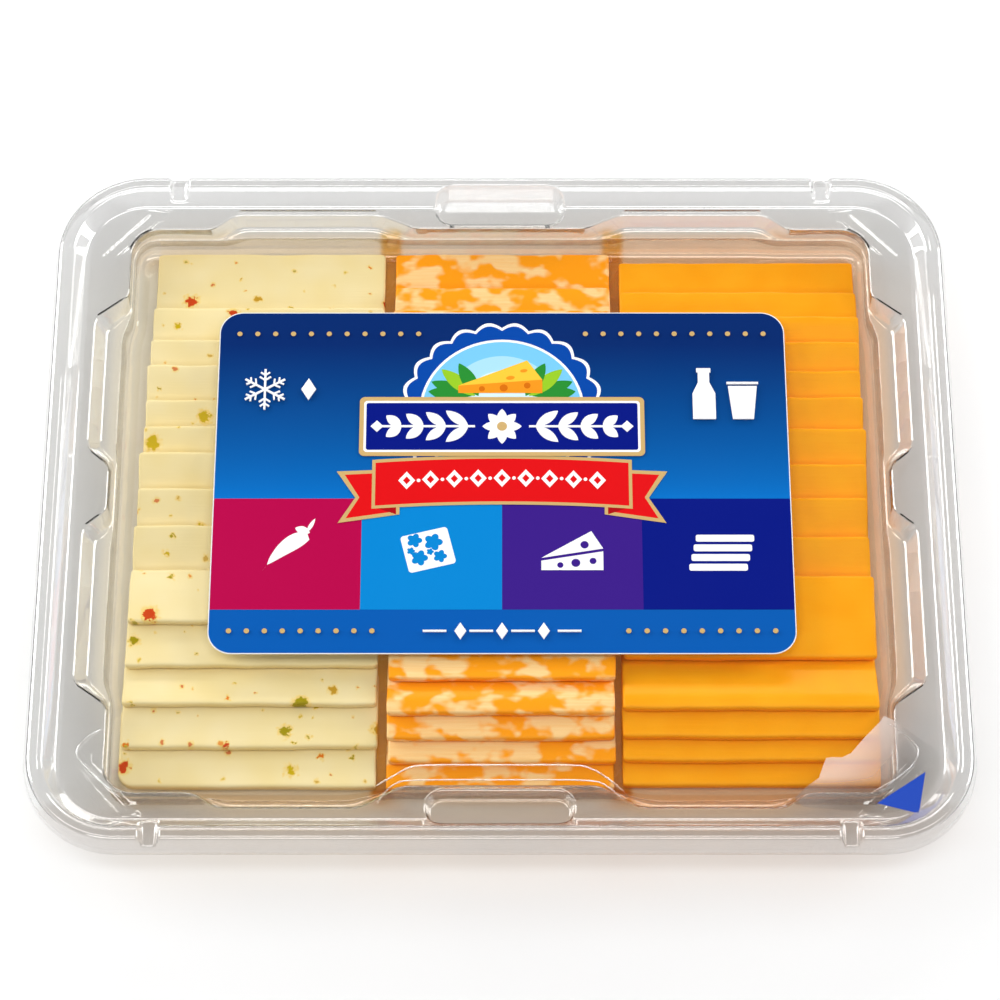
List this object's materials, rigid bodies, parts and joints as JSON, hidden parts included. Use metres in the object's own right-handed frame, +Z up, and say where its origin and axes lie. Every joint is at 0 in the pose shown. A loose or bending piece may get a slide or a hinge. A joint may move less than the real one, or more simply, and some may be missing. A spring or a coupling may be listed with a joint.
{
  "type": "sliced cheese tray",
  "caption": "Sealed shallow tray of shingled cheese slices in columns: clear formed tray with a raised rim, clear lidding film and a printed label.",
  "frame": {"origin": "centre of the tray's underside, on the surface that the tray stands on", "axes": "+X along the tray's length to its right end, +Y to its back edge, +Z up; -Y is the front edge, the one near the camera"},
  "size_m": [0.27, 0.218, 0.0188],
  "materials": {
    "clear_sheet": "clear glossy formed plastic sheet",
    "clear_film": "clear glossy lidding film, slightly hazy at its peel corner",
    "printed_label": "printed film label, satin to glossy",
    "pepper_cheese": "moist pale yellow cheese with green, red and orange flecks",
    "marble_cheese": "moist cheese, orange and cream marbled",
    "cheddar_cheese": "moist orange cheese, satin"
  },
  "bodies": {
    "root": {"tray": "clear_sheet", "lidding_film": "clear_film", "label": "printed_label", "pepper_slice_01": "pepper_cheese", "pepper_slice_02": "pepper_cheese", "pepper_slice_03": "pepper_cheese", "pepper_slice_04": "pepper_cheese", "pepper_slice_05": "pepper_cheese", "pepper_slice_06": "pepper_cheese", "pepper_slice_07": "pepper_cheese", "pepper_slice_08": "pepper_cheese", "pepper_slice_09": "pepper_cheese", "pepper_slice_10": "pepper_cheese", "pepper_slice_11": "pepper_cheese", "pepper_slice_12": "pepper_cheese", "pepper_slice_13": "pepper_cheese", "pepper_slice_14": "pepper_cheese", "marble_slice_01": "marble_cheese", "marble_slice_02": "marble_cheese", "marble_slice_03": "marble_cheese", "marble_slice_04": "marble_cheese", "marble_slice_05": "marble_cheese", "marble_slice_06": "marble_cheese", "marble_slice_07": "marble_cheese", "marble_slice_08": "marble_cheese", "marble_slice_09": "marble_cheese", "marble_slice_10": "marble_cheese", "marble_slice_11": "marble_cheese", "marble_slice_12": "marble_cheese", "marble_slice_13": "marble_cheese", "marble_slice_14": "marble_cheese", "marble_slice_15": "marble_cheese", "cheddar_slice_01": "cheddar_cheese", "cheddar_slice_02": "cheddar_cheese", "cheddar_slice_03": "cheddar_cheese", "cheddar_slice_04": "cheddar_cheese", "cheddar_slice_05": "cheddar_cheese", "cheddar_slice_06": "cheddar_cheese", "cheddar_slice_07": "cheddar_cheese", "cheddar_slice_08": "cheddar_cheese", "cheddar_slice_09": "cheddar_cheese", "cheddar_slice_10": "cheddar_cheese", "cheddar_slice_11": "cheddar_cheese", "cheddar_slice_12": "cheddar_cheese", "cheddar_slice_13": "cheddar_cheese", "cheddar_slice_14": "cheddar_cheese", "cheddar_slice_15": "cheddar_cheese"}
  },
  "joints": []
}
